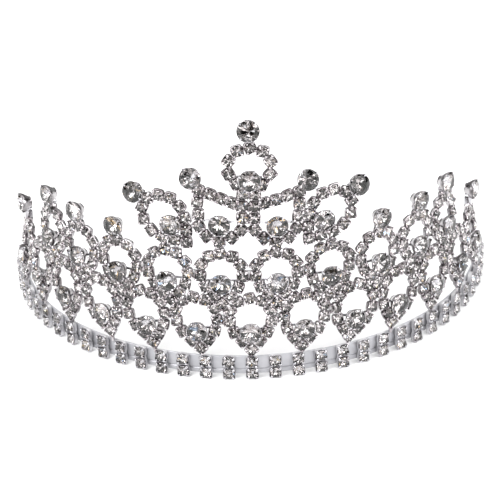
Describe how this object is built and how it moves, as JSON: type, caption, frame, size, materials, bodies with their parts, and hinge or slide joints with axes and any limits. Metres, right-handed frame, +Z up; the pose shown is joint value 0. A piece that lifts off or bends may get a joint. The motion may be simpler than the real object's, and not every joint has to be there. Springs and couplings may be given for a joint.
{
  "type": "bridal tiara",
  "caption": "Bridal tiara: a curved wall of rhinestone cup-chain loops and large claw-set crystals on a silver band, with hair-pin eyelets.",
  "frame": {"origin": "middle of the bounding box in X and Y, on the surface that the bars' lower edges stand on", "axes": "+Z up, -Y is the front of the tiara, +X to the right in a front view"},
  "size_m": [0.1276, 0.0721, 0.069],
  "materials": {
    "band": "silver-plated strip, softly polished",
    "chain_metal": "silver-plated cup chain, polished",
    "setting_metal": "silver-plated claw cups, polished",
    "solder": "bright solder, slightly rough",
    "small_crystal": "clear foil-backed faceted rhinestone",
    "large_crystal": "clear foil-backed faceted crystal"
  },
  "bodies": {
    "root": {"base_band": "band", "eyelet_left": "band", "eyelet_right": "band", "bar_chains": "chain_metal", "bar_crystals": "small_crystal", "lower_loop_01": "chain_metal", "lower_loop_02": "chain_metal", "lower_loop_03": "chain_metal", "lower_loop_04": "chain_metal", "lower_loop_05": "chain_metal", "lower_loop_06": "chain_metal", "lower_loop_07": "chain_metal", "lower_loop_08": "chain_metal", "lower_loop_09": "chain_metal", "lower_loop_10": "chain_metal", "lower_loop_11": "chain_metal", "lower_loop_12": "chain_metal", "lower_loop_13": "chain_metal", "lower_loop_crystals": "small_crystal", "lower_settings": "setting_metal", "lower_crystals": "large_crystal", "middle_loop_01": "chain_metal", "middle_loop_02": "chain_metal", "middle_loop_03": "chain_metal", "middle_loop_04": "chain_metal", "middle_loop_05": "chain_metal", "middle_loop_06": "chain_metal", "middle_loop_07": "chain_metal", "middle_loop_08": "chain_metal", "middle_loop_09": "chain_metal", "middle_loop_10": "chain_metal", "middle_loop_crystals": "small_crystal", "middle_settings": "setting_metal", "middle_crystals": "large_crystal", "centre_hoop": "chain_metal", "corner_chain_left": "chain_metal", "corner_chain_right": "chain_metal", "outer_hoop_left": "chain_metal", "outer_hoop_right": "chain_metal", "crest_chain_crystals": "small_crystal", "crest_settings": "setting_metal", "crest_crystals": "large_crystal", "finial_settings": "setting_metal", "finial_crystals": "large_crystal", "crest_feet": "chain_metal", "solder_beads": "solder"}
  },
  "joints": []
}
